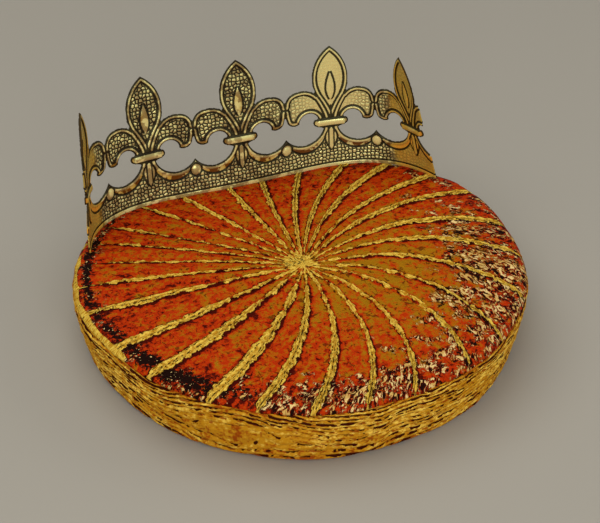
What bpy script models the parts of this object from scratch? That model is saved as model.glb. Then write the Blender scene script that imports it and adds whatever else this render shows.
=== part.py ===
"""Galette des rois: a round puff pastry cake, scored in a spiral, with an open gold card crown on it.

The pastry starts as a turned blank of unit height. Each of its points is then carried to its place by a
few formulas: the uneven outline, the domed top that has settled a little under the crown, the layered
side and the spiral scoring. The crown starts as a flat outline of arcs, cut into narrow strips and bent
along a plane curve.
"""

import math

import bmesh
import bpy
from mathutils import Vector

# Driving dimensions, in metres, and angles in degrees
PASTRY_RADIUS = 0.120
BASE_SHARE = 0.945
RIM_HEIGHT = 0.0375
DOME_RISE = 0.0062
SIDE_SHARE = 0.86
SCORE_COUNT = 26
MERIDIANS_PER_SCORE = 5
SCORE_SWEEP = 12.8
SWEEP_UNEVEN = 15.8
SWEEP_HEADING = -8.6
SCORE_DRIFT = 15.8
DRIFT_HEADING = 15.8
SCORE_RIPPLE = 2.6
RIPPLE_HEADING = 5.9
SCORE_DEPTH = 0.0013
SCORE_LIP = 0.0007
POLE_X = 0.002
POLE_Y = -0.007
LAYER_COUNT = 5
LAYER_RELIEF = 0.0007

FLEUR_COUNT = 5
FLEUR_PITCH = 0.0535
FLEUR_HEIGHT = 0.0760
END_SHARE = 0.24
CARD_THICKNESS = 0.0007
SEAT_GAP = 0.0011

# The crown's base lies in a plane that falls away towards the back
CROWN_MIDDLE = Vector((-0.0316, 0.0827, 0.0326))
CROWN_HEADING = 20.6
SEAT_TILT = 7.9
MIDDLE_TURN = 0.2
MIDDLE_BEND = -0.354
SIDE_SKEW = 0.013
END_BEND = 1.761
END_BEND_PLACE = 0.80
LEAN_SKEW = -0.116
LEAN_IN = -0.151

CURVE_HALF = 0.1284
CURVE_STEPS = 400
BEND_STEP = 0.0054
ARC_STEP = 0.0038
SEAT_BLEND = 0.0015
EDGE_DRAWN_IN = 0.003
DRAWN_IN_AZIMUTH = 114.0
DRAWN_IN_SPREAD = 30.0


def degrees_between(angle, centre):
    """The turn from centre to angle, in degrees, between -180 and 180."""
    return (angle - centre + 180.0) % 360.0 - 180.0


def seat_axes():
    """The seat plane's level direction, its downhill direction and its upward normal."""
    heading = math.radians(CROWN_HEADING)
    tilt = math.radians(SEAT_TILT)
    level = Vector((math.cos(heading), math.sin(heading), 0.0))
    flat_back = Vector((-level.y, level.x, 0.0))
    up = Vector((0.0, 0.0, 1.0))
    downhill = flat_back * math.cos(tilt) - up * math.sin(tilt)
    return level, downhill, level.cross(downhill)


def seat_height(x, y):
    """The height of the crown's seat plane over a point."""
    normal = seat_axes()[2]
    return CROWN_MIDDLE.z - (normal.x * (x - CROWN_MIDDLE.x) + normal.y * (y - CROWN_MIDDLE.y)) / normal.z


def outline_radius(azimuth):
    """The pastry's plan radius: a circle with a few slow waves, drawn in a little behind the crown."""
    wave = 0.0007 * math.cos(2.0 * azimuth + 0.6)
    wave += 0.0006 * math.cos(5.0 * azimuth + 2.1)
    wave += 0.0004 * math.cos(9.0 * azimuth + 0.4)
    away = degrees_between(math.degrees(azimuth), DRAWN_IN_AZIMUTH) / DRAWN_IN_SPREAD
    return PASTRY_RADIUS + wave - EDGE_DRAWN_IN * math.exp(-away * away)


def top_height(x, y):
    """The crust's height: the lower of the dome and the crown's seat, with a soft change between them."""
    reach = math.hypot(x, y) / PASTRY_RADIUS
    dome = RIM_HEIGHT + DOME_RISE * (1.0 - reach * reach)
    seat = seat_height(x, y) - SEAT_GAP
    lower = min(dome, seat)
    apart = abs(dome - seat)
    return lower - SEAT_BLEND * math.log1p(math.exp(-apart / SEAT_BLEND))


def turned_profile():
    """The blank's profile from the top's middle to the foot's middle, as (radius, height) shares."""
    top = [(0.0, 1.0)]
    top += [(share, 1.0) for share in (0.055, 0.13, 0.22, 0.32, 0.43, 0.54, 0.65, 0.75, 0.84, 0.90)]
    round_in = 0.058
    round_down = 1.0 - SIDE_SHARE
    shoulder = []
    for turn in (0.25, 0.7, 1.12, 1.5):
        out = 1.0 - round_in * (1.0 - math.sin(turn))
        shoulder.append((out, SIDE_SHARE + round_down * math.cos(turn)))
    rings = 2 * LAYER_COUNT
    side = []
    for ring in range(1, rings):
        share = ring / rings
        side.append((1.0 - (1.0 - BASE_SHARE) * share ** 1.4, SIDE_SHARE * (1.0 - share)))
    foot = [(BASE_SHARE - 0.006, 0.018), (BASE_SHARE - 0.022, 0.0), (0.0, 0.0)]
    return top + shoulder + side + foot


def mesh_object(name, collection, mesh):
    """A new object with this mesh, in the collection."""
    made = bpy.data.objects.new(name, mesh)
    collection.objects.link(made)
    return made


def applied(source, name, collection):
    """The source as the viewport shows it, made a mesh with its doubles merged. The source goes."""
    bpy.context.view_layer.update()
    graph = bpy.context.evaluated_depsgraph_get()
    mesh = bpy.data.meshes.new_from_object(source.evaluated_get(graph))
    made = mesh_object(name, collection, mesh)
    made.matrix_world = source.matrix_world.copy()
    bpy.data.objects.remove(source)
    work = bmesh.new()
    work.from_mesh(mesh)
    bmesh.ops.remove_doubles(work, verts=work.verts, dist=0.00002)
    work.to_mesh(mesh)
    work.free()
    return made


def turned_blank(collection):
    """The unit blank, turned from its profile, with its meridians shared out among the scored lines."""
    profile = turned_profile()
    mesh = bpy.data.meshes.new("blank_profile")
    edges = [(i, i + 1) for i in range(len(profile) - 1)]
    mesh.from_pydata([(radius, 0.0, height) for radius, height in profile], edges, [])
    blank = mesh_object("blank", collection, mesh)
    screw = blank.modifiers.new("turn", "SCREW")
    screw.steps = MERIDIANS_PER_SCORE * SCORE_COUNT
    screw.render_steps = screw.steps
    screw.use_merge_vertices = True
    screw.merge_threshold = 0.0001
    return applied(blank, "galette", collection)


def score_relief(place, share):
    """Height added by the scoring: a groove with a lip on each side, fading at the pole and the rim."""
    fade = min(1.0, max(0.0, (share - 0.05) / 0.15)) * min(1.0, max(0.0, (0.97 - share) / 0.05))
    if place == 0:
        return -SCORE_DEPTH * fade
    if place in (1, MERIDIANS_PER_SCORE - 1):
        return SCORE_LIP * fade
    return 0.0


def hand_shift(scored):
    """How far the knife strayed at a scored line, as a share of the lines' spacing."""
    scored %= SCORE_COUNT
    return 0.08 * math.sin(2.7 * scored) + 0.06 * math.sin(5.3 * scored + 1.0)


def meridian_turn(number):
    """The blank angle of a meridian: a groove, the lips close beside it, then the panel's two lines."""
    scored, place = divmod(number, MERIDIANS_PER_SCORE)
    within = (0.0, 0.13, 0.37, 0.63, 0.87)[place]
    shift = hand_shift(scored) * (1.0 - within) + hand_shift(scored + 1) * within
    return math.tau * (scored + within + shift) / SCORE_COUNT


def score_azimuth(turn, swept):
    """Where a meridian runs: its own turn, drifted by the baker's hand, less its swept curve."""
    drift = SCORE_DRIFT * math.cos(turn - math.radians(DRIFT_HEADING))
    drift += SCORE_RIPPLE * math.sin(3.0 * (turn - math.radians(RIPPLE_HEADING)))
    sweep = SCORE_SWEEP + SWEEP_UNEVEN * math.cos(turn - math.radians(SWEEP_HEADING))
    return turn + math.radians(drift - sweep * swept)


def shape_pastry(pastry):
    """Carries each point of the turned blank to its place on the pastry."""
    meridians = MERIDIANS_PER_SCORE * SCORE_COUNT
    for vertex in pastry.data.vertices:
        share = math.hypot(vertex.co.x, vertex.co.y)
        rise = vertex.co.z
        turn = math.atan2(vertex.co.y, vertex.co.x) % math.tau
        number = round(turn / math.tau * meridians) % meridians
        on_top = rise > 0.999
        azimuth = score_azimuth(meridian_turn(number), share ** 1.4 if on_top else 1.0)
        reach = outline_radius(azimuth) * share
        x = reach * math.cos(azimuth) + POLE_X * (1.0 - share)
        y = reach * math.sin(azimuth) + POLE_Y * (1.0 - share)
        height = rise * top_height(x, y)
        if on_top:
            height += score_relief(number % MERIDIANS_PER_SCORE, share)
        elif 0.02 < rise < SIDE_SHARE - 0.01:
            wave = LAYER_RELIEF * math.cos(math.tau * LAYER_COUNT * rise / SIDE_SHARE)
            x += wave * math.cos(azimuth)
            y += wave * math.sin(azimuth)
        vertex.co = (x, y, height)


def arc(start, end, bulge):
    """Points after start, up to end, on an arc that bulges to the left by bulge times its chord."""
    chord = (end[0] - start[0], end[1] - start[1])
    length = math.hypot(*chord)
    if abs(bulge) < 1e-6:
        return [end]
    radius = length * (0.25 / abs(bulge) + abs(bulge)) / 2.0
    half = math.asin(min(1.0, length / (2.0 * radius)))
    if abs(bulge) > 0.5:
        half = math.pi - half
    steps = max(2, round(2.0 * half * radius / ARC_STEP))
    side = math.copysign(1.0, bulge)
    along = (chord[0] / length, chord[1] / length)
    left = (-along[1] * side, along[0] * side)
    points = []
    for step in range(1, steps + 1):
        angle = -half + 2.0 * half * step / steps
        forward = length / 2.0 + radius * math.sin(angle)
        outward = radius * (math.cos(angle) - math.cos(half))
        points.append(
            (
                start[0] + along[0] * forward + left[0] * outward,
                start[1] + along[1] * forward + left[1] * outward,
            )
        )
    return points


def path_of(start, runs):
    """The points of a path from start through (end, bulge) runs."""
    points = [start]
    for end, bulge in runs:
        points += arc(points[-1], end, bulge)
    return points


def mirrored(points):
    """The points reflected in the module's middle line and taken the other way."""
    return [(-x, y) for x, y in reversed(points)]


def fleur_top():
    """The upper outline between the joints with both neighbours, over lobe, petal and lobe."""
    pitch, tall = FLEUR_PITCH, FLEUR_HEIGHT
    right = path_of(
        (0.500 * pitch, 0.555 * tall),
        [
            ((0.360 * pitch, 0.655 * tall), -0.20),
            ((0.150 * pitch, 0.605 * tall), -0.14),
            ((0.0, tall), -0.19),
        ],
    )
    return right + mirrored(right)[1:]


def gap_side():
    """Half the gap's outline, from under the joint round lobe, neck and tie to the band's crest."""
    pitch, tall = FLEUR_PITCH, FLEUR_HEIGHT
    return path_of(
        (0.500 * pitch, 0.500 * tall),
        [
            ((0.486 * pitch, 0.436 * tall), 0.04),
            ((0.347 * pitch, 0.388 * tall), 0.28),
            ((0.138 * pitch, 0.414 * tall), -0.42),
            ((0.155 * pitch, 0.402 * tall), 0.0),
            ((0.155 * pitch, 0.344 * tall), 0.42),
            ((0.080 * pitch, 0.325 * tall), 0.0),
            ((0.500 * pitch, 0.285 * tall), -0.33),
        ],
    )


def moved(points, distance):
    """The points moved along the strip."""
    return [(x + distance, y) for x, y in points]


def clipped(points, reach):
    """The points no further along than reach, with a point put in wherever the line crosses it."""
    kept = []
    for (x0, y0), (x1, y1) in zip(points, points[1:]):
        if x0 <= reach:
            kept.append((x0, y0))
        if (x0 <= reach) != (x1 <= reach):
            part = (reach - x0) / (x1 - x0)
            kept.append((reach, y0 + (y1 - y0) * part))
    return kept + points[-1:]


def crown_outlines():
    """The flat strip's outer outline and its four gaps, with the middle fleur at zero."""
    pitch = FLEUR_PITCH
    last = (FLEUR_COUNT - 1) / 2.0
    end = (last + END_SHARE) * pitch
    side = gap_side()
    top = fleur_top()
    end_fleur = clipped(side[::-1] + top, END_SHARE * pitch)
    outer = [(-end, 0.0), (end, 0.0)] + moved(end_fleur, last * pitch)
    for number in range(FLEUR_COUNT - 2, 0, -1):
        outer += moved(top, (number - last) * pitch)[1:]
    outer += moved(mirrored(end_fleur), -last * pitch)[1:]
    gap = side + [(pitch - x, y) for x, y in reversed(side)][1:-1]
    gaps = [moved(gap, (number - last) * pitch) for number in range(FLEUR_COUNT - 1)]
    return [outer] + gaps


def flat_card(collection):
    """The strip lying flat in x and y as a card of its thickness, made a mesh."""
    flat = bpy.data.curves.new("card", "CURVE")
    flat.dimensions = "2D"
    flat.fill_mode = "BOTH"
    flat.extrude = CARD_THICKNESS / 2.0
    for outline in crown_outlines():
        spline = flat.splines.new("POLY")
        spline.points.add(len(outline) - 1)
        spline.use_cyclic_u = True
        for point, (x, y) in zip(spline.points, outline):
            point.co = (x, y, 0.0, 1.0)
    card = bpy.data.objects.new("card", flat)
    collection.objects.link(card)
    return applied(card, "paper_crown", collection)


def crosses_a_face(edge):
    """Whether the edge lies inside a flat face of the card and isn't one of the cuts across it."""
    flat = all(abs(face.normal.z) > 0.9 for face in edge.link_faces)
    return flat and abs(edge.verts[0].co.x - edge.verts[1].co.x) > 1e-6


def cut_into_strips(card):
    """Cuts the flat card across at even steps, so that it can bend there."""
    half = (FLEUR_COUNT - 1 + 2.0 * END_SHARE) / 2.0 * FLEUR_PITCH
    count = round(2.0 * half / BEND_STEP)
    work = bmesh.new()
    work.from_mesh(card.data)
    for cut in range(1, count):
        place = -half + 2.0 * half * cut / count
        geometry = work.verts[:] + work.edges[:] + work.faces[:]
        bmesh.ops.bisect_plane(work, geom=geometry, dist=1e-7, plane_co=(place, 0, 0), plane_no=(1, 0, 0))
    inner = [edge for edge in work.edges if crosses_a_face(edge)]
    bmesh.ops.dissolve_edges(work, edges=inner, use_verts=True)
    bmesh.ops.triangulate(work, faces=work.faces)
    work.to_mesh(card.data)
    work.free()


def strip_angle(share):
    """The strip's turn from its middle, in radians, at a share of the curve's half length."""
    bend = MIDDLE_BEND * share + SIDE_SKEW * share * share
    return bend + END_BEND * math.tanh((share / END_BEND_PLACE) ** 3)


def strip_places():
    """Base points and headings along the strip, by adding up short steps both ways from its middle."""
    level, downhill, _ = seat_axes()
    turn = math.radians(MIDDLE_TURN)
    step = CURVE_HALF / CURVE_STEPS
    places = {0: (CROWN_MIDDLE.copy(), turn)}
    for way in (1, -1):
        point = CROWN_MIDDLE.copy()
        for number in range(1, CURVE_STEPS + 1):
            middle = turn - strip_angle(way * (number - 0.5) / CURVE_STEPS)
            point = point + (level * math.cos(middle) + downhill * math.sin(middle)) * (step * way)
            places[way * number] = (point.copy(), turn - strip_angle(way * number / CURVE_STEPS))
    return places


def bend_card(card):
    """Carries each point of the flat card to the bent, standing strip."""
    places = strip_places()
    level, downhill, upright = seat_axes()
    for vertex in card.data.vertices:
        share = vertex.co.x / CURVE_HALF
        along = share * CURVE_STEPS
        lower = max(-CURVE_STEPS, min(CURVE_STEPS - 1, math.floor(along)))
        part = along - lower
        base = places[lower][0].lerp(places[lower + 1][0], part)
        heading = places[lower][1] * (1.0 - part) + places[lower + 1][1] * part
        outward = downhill * math.cos(heading) - level * math.sin(heading)
        lean = LEAN_SKEW * share + LEAN_IN * share * share
        rising = upright * math.cos(lean) + outward * math.sin(lean)
        facing = outward * math.cos(lean) - upright * math.sin(lean)
        vertex.co = base + rising * vertex.co.y - facing * vertex.co.z


def finish_faces(made):
    """Faces all outward, and smooth but for the sharp edges."""
    work = bmesh.new()
    work.from_mesh(made.data)
    bmesh.ops.recalc_face_normals(work, faces=work.faces)
    work.to_mesh(made.data)
    work.free()
    made.data.shade_smooth()
    made.data.set_sharp_from_angle(angle=math.radians(38.0))


def material(name, colour, roughness, metallic):
    """A Principled material of one colour."""
    made = bpy.data.materials.new(name)
    made.use_nodes = True
    shader = made.node_tree.nodes["Principled BSDF"]
    shader.inputs["Base Color"].default_value = (*colour, 1.0)
    shader.inputs["Roughness"].default_value = roughness
    shader.inputs["Metallic"].default_value = metallic
    return made


def build_pastry(collection):
    """The pastry, with its browned crust."""
    pastry = turned_blank(collection)
    shape_pastry(pastry)
    finish_faces(pastry)
    pastry.data.materials.clear()
    pastry.data.materials.append(material("baked_crust", (0.36, 0.12, 0.02), 0.4, 0.0))


def build_crown(collection):
    """The gold card crown, standing on the pastry."""
    card = flat_card(collection)
    cut_into_strips(card)
    bend_card(card)
    finish_faces(card)
    card.data.materials.clear()
    card.data.materials.append(material("gold_foil", (0.75, 0.55, 0.18), 0.3, 1.0))


def main():
    """Clears the scene and builds both pieces."""
    for old in list(bpy.data.objects):
        bpy.data.objects.remove(old)
    collection = bpy.data.collections.new("galette_des_rois")
    bpy.context.scene.collection.children.link(collection)
    build_pastry(collection)
    build_crown(collection)


main()
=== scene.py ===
"""The looks of a galette des rois: egg-washed puff pastry scored in a spiral, with an embossed gold card crown.

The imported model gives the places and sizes. The top crust, the layered side and the crown are surfaces worked
out with numpy on grids, and each is dressed with a finish built from shader nodes. Lengths are in metres unless
a name or a comment says millimetres.
"""

from __future__ import annotations

import logging
import math
from dataclasses import dataclass, field
from enum import Enum

import bpy
import numpy as np
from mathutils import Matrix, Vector

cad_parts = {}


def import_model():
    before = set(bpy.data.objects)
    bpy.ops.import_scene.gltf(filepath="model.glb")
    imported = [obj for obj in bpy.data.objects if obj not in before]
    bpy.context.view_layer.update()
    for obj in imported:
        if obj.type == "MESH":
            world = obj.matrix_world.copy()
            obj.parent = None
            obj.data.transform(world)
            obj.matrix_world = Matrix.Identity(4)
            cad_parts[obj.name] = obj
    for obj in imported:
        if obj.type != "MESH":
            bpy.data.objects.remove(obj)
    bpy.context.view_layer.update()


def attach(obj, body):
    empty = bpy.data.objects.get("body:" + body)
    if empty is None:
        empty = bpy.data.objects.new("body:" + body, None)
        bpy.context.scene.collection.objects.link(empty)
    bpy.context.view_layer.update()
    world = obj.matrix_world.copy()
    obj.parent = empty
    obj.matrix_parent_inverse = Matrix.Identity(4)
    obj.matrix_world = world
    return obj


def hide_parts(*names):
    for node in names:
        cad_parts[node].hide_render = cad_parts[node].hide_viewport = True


logging.basicConfig(level=logging.INFO, format="%(message)s")
LOG = logging.getLogger("galette")

MM = 0.001
FLAT_MAP = "flat"


class Body(str, Enum):
    """The frame's bodies."""

    ROOT = "root"


class Slot(str, Enum):
    """The record's material slots."""

    CRUST = "baked_crust"
    FOIL = "gold_foil"


# ---------------------------------------------------------------------------------------------------------------
# Numbers and meshes
# ---------------------------------------------------------------------------------------------------------------


def tint(red: int, green: int, blue: int) -> tuple[float, float, float, float]:
    """A display colour, 0 to 255 a channel, as the linear colour that shaders take.

    Args:
        red: The red channel.
        green: The green channel.
        blue: The blue channel.

    Returns:
        Linear red, green and blue, with full alpha.
    """
    shares = [channel / 255.0 for channel in (red, green, blue)]
    linear = [share / 12.92 if share <= 0.04045 else ((share + 0.055) / 1.055) ** 2.4 for share in shares]
    return (linear[0], linear[1], linear[2], 1.0)


def ease(value: np.ndarray, low: float | np.ndarray, high: float | np.ndarray) -> np.ndarray:
    """A smooth step: 0 at low and before, 1 at high and after, with a cubic 3t^2 - 2t^3 between them.

    Args:
        value: The values to step.
        low: Where the step starts.
        high: Where the step ends.

    Returns:
        The stepped values.
    """
    share = np.clip((value - low) / (high - low), 0.0, 1.0)
    return share * share * (3.0 - 2.0 * share)


def bell(value: np.ndarray, width: float | np.ndarray) -> np.ndarray:
    """A bell curve, exp(-(value / width)^2).

    Args:
        value: The distances from the bell's middle.
        width: The distance at which the bell has fallen to 1/e.

    Returns:
        The bell's heights.
    """
    return np.exp(-np.square(value / width))


def half_round(value: np.ndarray, radius: float | np.ndarray) -> np.ndarray:
    """A half-round ridge, sqrt(1 - (value / radius)^2).

    Args:
        value: The distances from the ridge's middle.
        radius: Half the ridge's width.

    Returns:
        The ridge's heights, 0 outside it.
    """
    return np.sqrt(np.clip(1.0 - np.square(value / radius), 0.0, 1.0))


def turn_between(angle: np.ndarray, centre: float) -> np.ndarray:
    """The turn from a heading to each angle.

    Args:
        angle: Angles in degrees.
        centre: The heading in degrees.

    Returns:
        Turns between -180 and 180 degrees.
    """
    return (angle - centre + 180.0) % 360.0 - 180.0


def lattice_value(cell: np.ndarray, seed: int) -> np.ndarray:
    """A fixed pseudo-random value for each lattice cell, from multiplied and shifted whole numbers.

    Args:
        cell: Whole cell numbers, one row of three to a point.
        seed: Chooses one of many patterns.

    Returns:
        Values between 0 and 1.
    """
    mixed = cell[..., 0] * 73856093 ^ cell[..., 1] * 19349663 ^ cell[..., 2] * 83492791 ^ seed * 2654435761
    mixed = (mixed ^ (mixed >> 13)) * 1274126177 & 0xFFFFFFFF
    mixed = (mixed ^ (mixed >> 16)) * 2246822519 & 0xFFFFFFFF
    return (mixed >> 8 & 0xFFFF) / 65535.0


def unevenness(points: np.ndarray, size: float, seed: int, octaves: int = 1) -> np.ndarray:
    """Smooth noise: lattice values blended by a fifth-degree ease in each direction, octave upon octave.

    Args:
        points: Places, in metres, one row of three each.
        size: The lattice spacing, in metres.
        seed: Chooses the pattern.
        octaves: How many layers to add, each half as large and half as strong as the one before.

    Returns:
        Values between -1 and 1.
    """
    total = np.zeros(points.shape[:-1])
    strength = 0.0
    for octave in range(octaves):
        scaled = points * (2.0**octave / size) + 17.3 * octave
        cell = np.floor(scaled).astype(np.int64)
        part = scaled - cell
        eased = part**3 * (part * (part * 6.0 - 15.0) + 10.0)
        value = np.zeros(points.shape[:-1])
        for corner in range(8):
            step = np.array([corner & 1, corner >> 1 & 1, corner >> 2 & 1])
            weight = np.where(step == 1, eased, 1.0 - eased).prod(axis=-1)
            value += weight * lattice_value(cell + step, seed + octave)
        total += (2.0 * value - 1.0) * 0.5**octave
        strength += 0.5**octave
    return total / strength


def grid_quads(rows: int, columns: int, closed: bool) -> np.ndarray:
    """The quads of a grid of points numbered row by row.

    Args:
        rows: Rows of points.
        columns: Points in a row.
        closed: Whether the last column joins the first.

    Returns:
        One row of four point numbers to a quad.
    """
    row = np.arange(rows - 1)[:, None] * columns
    column = np.arange(columns if closed else columns - 1)[None, :]
    after = (column + 1) % columns
    return np.stack([row + column, row + after, row + columns + after, row + columns + column], axis=-1).reshape(-1, 4)


@dataclass
class Piece:
    """One finished mesh of the galette, built from arrays."""

    name: str
    points: np.ndarray
    quads: np.ndarray
    fans: np.ndarray | None = None
    marks: dict[str, np.ndarray] = field(default_factory=dict)
    flat: np.ndarray | None = None
    flat_span: float = math.inf

    def build(self) -> bpy.types.Object:
        """Makes the mesh object, smooth and carrying its marks as point attributes.

        Returns:
            The new object, linked to the scene.
        """
        mesh = bpy.data.meshes.new(self.name)
        fans = self.fans if self.fans is not None else np.zeros((0, 3), dtype=np.int64)
        corners = np.concatenate([self.quads.ravel(), fans.ravel()]).astype(np.int32)
        starts = np.concatenate([np.arange(len(self.quads)) * 4, self.quads.size + np.arange(len(fans)) * 3])
        mesh.vertices.add(len(self.points))
        mesh.vertices.foreach_set("co", self.points.astype(np.float32).ravel())
        mesh.loops.add(len(corners))
        mesh.loops.foreach_set("vertex_index", corners)
        mesh.polygons.add(len(starts))
        mesh.polygons.foreach_set("loop_start", starts.astype(np.int32))
        mesh.update(calc_edges=True)
        mesh.validate()
        for label, values in self.marks.items():
            attribute = mesh.attributes.new(label, "FLOAT", "POINT")
            attribute.data.foreach_set("value", values.astype(np.float32).ravel())
        if self.flat is not None:
            sheet = mesh.uv_layers.new(name=FLAT_MAP)
            uv = self.flat[corners]
            count = self.quads.size
            quad_u = uv[:count, 0].reshape(-1, 4)
            quad_u += np.where(quad_u.max(axis=1, keepdims=True) - quad_u > self.flat_span / 2.0, self.flat_span, 0.0)
            sheet.data.foreach_set("uv", uv.astype(np.float32).ravel())
        mesh.shade_smooth()
        made = bpy.data.objects.new(self.name, mesh)
        bpy.context.scene.collection.objects.link(made)
        return made


def place_piece(made: bpy.types.Object, nodes: tuple[str, ...], finish: bpy.types.Material) -> None:
    """Dresses a piece, and ties it to the frame.

    Args:
        made: The piece's object.
        nodes: The frame's nodes that it stands for.
        finish: Its material.
    """
    made.data.materials.append(finish)
    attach(made, Body.ROOT.value)
    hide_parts(*nodes)
    faces = sum(len(polygon.vertices) - 2 for polygon in made.data.polygons)
    LOG.info("%s: %d points, %d triangles", made.name, len(made.data.vertices), faces)


# ---------------------------------------------------------------------------------------------------------------
# Shader graphs
# ---------------------------------------------------------------------------------------------------------------


class Graph:
    """A material's node graph, built up one wired node at a time."""

    def __init__(self, name: str) -> None:
        """Starts a material with its Principled shader.

        Args:
            name: The material's name.
        """
        self.material = bpy.data.materials.new(name)
        self.material.use_nodes = True
        self.tree = self.material.node_tree
        self.shader = self.tree.nodes["Principled BSDF"]
        self.place = self.tree.nodes.new("ShaderNodeTexCoord").outputs["Object"]
        sheet = self.tree.nodes.new("ShaderNodeUVMap")
        sheet.uv_map = FLAT_MAP
        self.flat = sheet.outputs[0]

    def wire(self, socket: bpy.types.NodeSocket, value: object) -> None:
        """Links a socket to another node's output, or sets its own value."""
        if isinstance(value, bpy.types.NodeSocket):
            self.tree.links.new(value, socket)
        else:
            socket.default_value = value

    def calc(self, operation: str, first: object, second: object = 0.0, third: object = 0.0) -> bpy.types.NodeSocket:
        """A Math node.

        Args:
            operation: The node's operation.
            first: Its first input.
            second: Its second input.
            third: Its third input.

        Returns:
            The node's output.
        """
        node = self.tree.nodes.new("ShaderNodeMath")
        node.operation = operation
        for socket, value in zip(node.inputs, (first, second, third)):
            self.wire(socket, value)
        return node.outputs[0]

    def step(self, value: object, low: object, high: object, top: float = 1.0) -> bpy.types.NodeSocket:
        """A smooth step from 0 at low to top at high, made with a Map Range node.

        Args:
            value: What is stepped.
            low: Where the step starts.
            high: Where the step ends.
            top: The value after the step.

        Returns:
            The stepped value.
        """
        node = self.tree.nodes.new("ShaderNodeMapRange")
        node.interpolation_type = "SMOOTHSTEP"
        for socket, given in zip(node.inputs, (value, low, high, 0.0, top)):
            self.wire(socket, given)
        return node.outputs[0]

    def mark(self, name: str) -> bpy.types.NodeSocket:
        """The value of a point attribute."""
        node = self.tree.nodes.new("ShaderNodeAttribute")
        node.attribute_name = name
        return node.outputs["Fac"]

    def grain(
        self,
        size_mm: float,
        detail: float = 2.0,
        roughness: float = 0.55,
        stretch: tuple[float, float, float] = (1.0, 1.0, 1.0),
        offset: float = 0.0,
        distortion: float = 0.0,
        flat: bool = False,
    ) -> bpy.types.NodeSocket:
        """Noise on object coordinates, or on the flat map.

        Args:
            size_mm: The size of its lumps.
            detail: Its octaves.
            roughness: How strong the finer octaves are.
            stretch: How much longer its lumps are along x, y and z.
            offset: Moves it to another part of the pattern.
            distortion: How much it is swirled.
            flat: Whether it lies on the piece's flat map, which is in metres.

        Returns:
            The noise, about 0.5 in the middle.
        """
        mapping = self.tree.nodes.new("ShaderNodeMapping")
        self.wire(mapping.inputs["Vector"], self.flat if flat else self.place)
        mapping.inputs["Location"].default_value = (offset, offset * 0.7, offset * 1.3)
        mapping.inputs["Scale"].default_value = tuple(1.0 / share for share in stretch)
        node = self.tree.nodes.new("ShaderNodeTexNoise")
        self.wire(node.inputs["Vector"], mapping.outputs[0])
        node.inputs["Scale"].default_value = 1.0 / (size_mm * MM)
        node.inputs["Detail"].default_value = detail
        node.inputs["Roughness"].default_value = roughness
        node.inputs["Distortion"].default_value = distortion
        return node.outputs["Fac"]

    def cell_edge(self, size_mm: float) -> bpy.types.NodeSocket:
        """How far each point is from the edge of its cell, in a pattern of irregular cells on the flat map.

        Args:
            size_mm: The cells' spacing.

        Returns:
            The distance, as a share of the spacing.
        """
        node = self.tree.nodes.new("ShaderNodeTexVoronoi")
        node.voronoi_dimensions = "2D"
        node.feature = "DISTANCE_TO_EDGE"
        node.inputs["Randomness"].default_value = 0.6
        node.inputs["Scale"].default_value = 1.0 / (size_mm * MM)
        self.wire(node.inputs["Vector"], self.flat)
        return node.outputs["Distance"]

    def blend(self, share: object, under: object, over: object) -> bpy.types.NodeSocket:
        """A colour Mix node.

        Args:
            share: How much of the upper colour shows.
            under: The lower colour.
            over: The upper colour.

        Returns:
            The mixed colour.
        """
        node = self.tree.nodes.new("ShaderNodeMix")
        node.data_type = "RGBA"
        self.wire(node.inputs["Factor"], share)
        self.wire(node.inputs["A"], under)
        self.wire(node.inputs["B"], over)
        return node.outputs["Result"]

    def dress(self, colour: object, roughness: object, height: object, depth_mm: float) -> None:
        """Wires the shader's colour, roughness and bump.

        Args:
            colour: The base colour.
            roughness: The roughness.
            height: The bump's height, 0 to 1.
            depth_mm: How deep a full step of that height is.
        """
        bump = self.tree.nodes.new("ShaderNodeBump")
        bump.inputs["Strength"].default_value = 1.0
        bump.inputs["Distance"].default_value = depth_mm * MM
        self.wire(bump.inputs["Height"], height)
        self.wire(self.shader.inputs["Base Color"], colour)
        self.wire(self.shader.inputs["Roughness"], roughness)
        self.wire(self.shader.inputs["Normal"], bump.outputs[0])


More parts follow.
